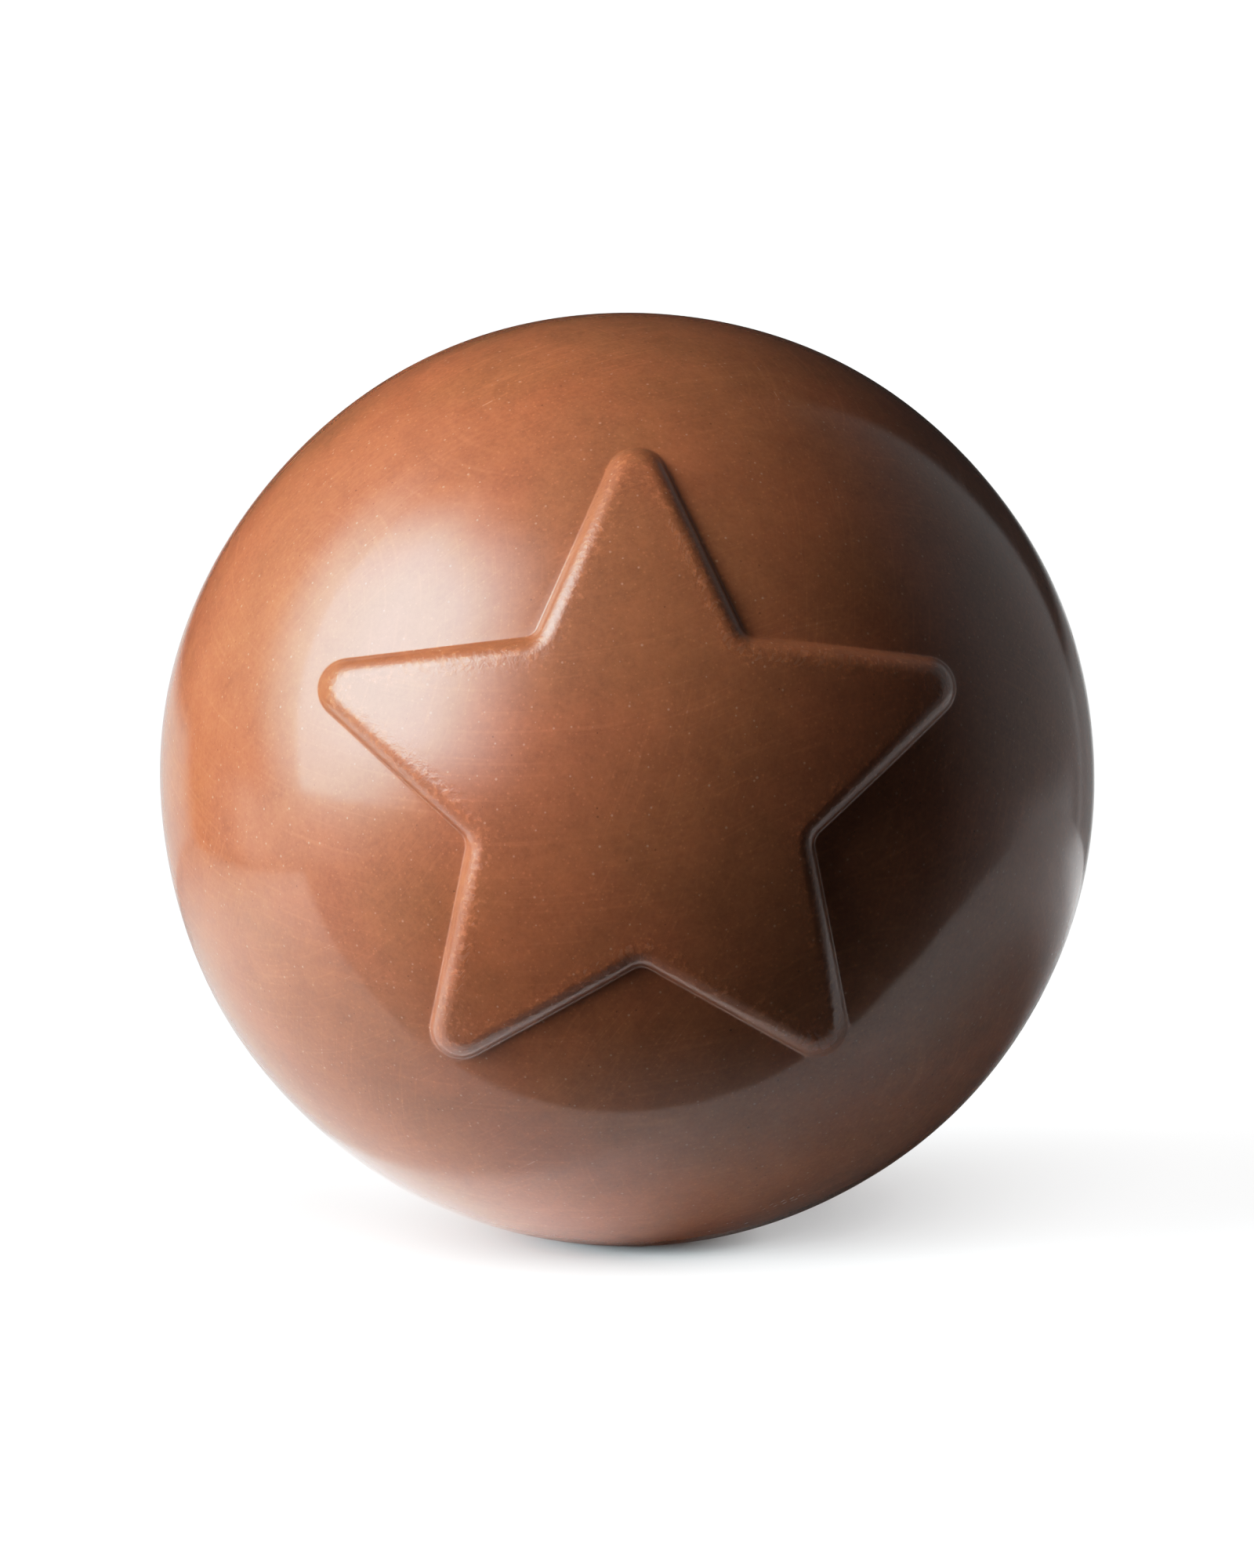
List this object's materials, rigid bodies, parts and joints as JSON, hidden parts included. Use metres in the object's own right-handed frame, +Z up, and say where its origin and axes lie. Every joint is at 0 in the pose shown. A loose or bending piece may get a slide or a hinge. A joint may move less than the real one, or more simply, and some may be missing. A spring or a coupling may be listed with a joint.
{
  "type": "moulded chocolate sphere with a raised star",
  "caption": "Solid ball of milk chocolate with a raised, round-edged star on its front and a small flat spot to rest on.",
  "frame": {"origin": "centre of the small flat spot that the ball rests on", "axes": "+Z up; the star faces -Y, leaning back 7 degrees and turned 1.6 degrees towards +X; X runs across it"},
  "size_m": [0.0601, 0.0609, 0.0597],
  "materials": {
    "milk_chocolate": "glossy tempered milk chocolate with fine specks"
  },
  "bodies": {
    "root": {"chocolate_sphere": "milk_chocolate"}
  },
  "joints": []
}
